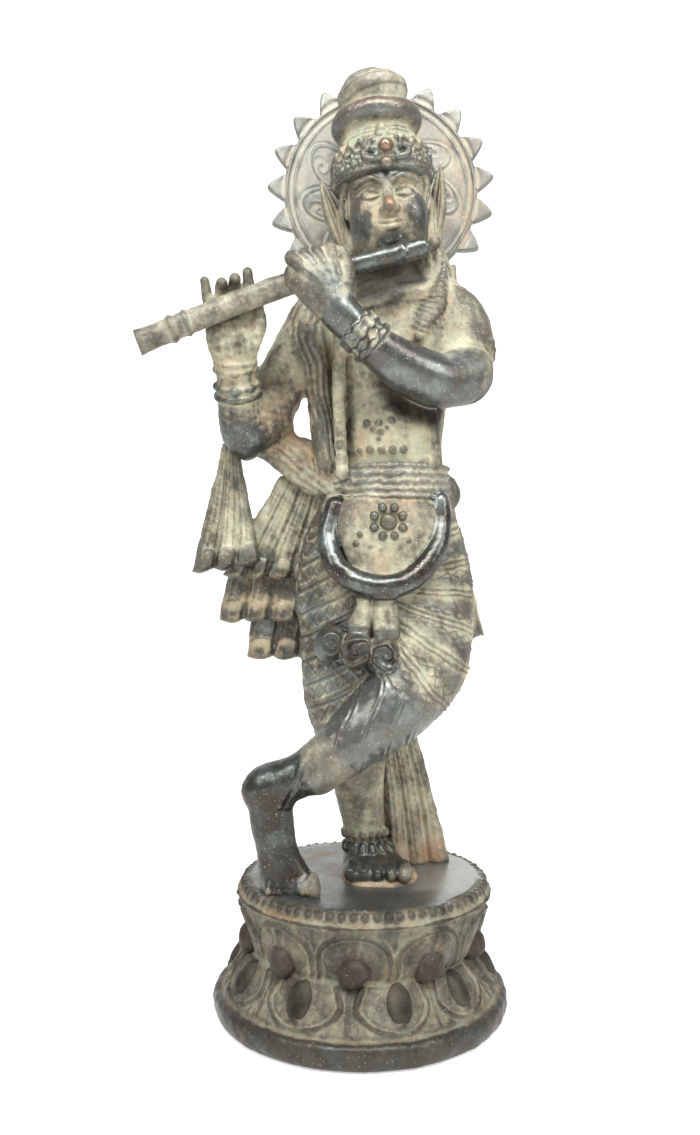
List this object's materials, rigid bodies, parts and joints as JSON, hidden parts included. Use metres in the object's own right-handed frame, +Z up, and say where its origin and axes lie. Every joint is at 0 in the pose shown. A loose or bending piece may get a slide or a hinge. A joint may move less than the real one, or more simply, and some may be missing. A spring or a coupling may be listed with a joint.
{
  "type": "flute player statuette",
  "caption": "Cast bronze statuette of a crowned youth playing a side-blown flute, legs crossed, with a rayed halo, on a double lotus plinth.",
  "frame": {"origin": "centre of the plinth's underside", "axes": "+Z up through the plinth, -Y the way the figure faces, +X towards its left"},
  "size_m": [0.0836, 0.0688, 0.2239],
  "materials": {
    "patinated_bronze": "dark green-brown patina, earthy in the hollows, rubbed to a shine on the high spots"
  },
  "bodies": {
    "root": {"flute_player_on_lotus_plinth": "patinated_bronze"}
  },
  "joints": []
}
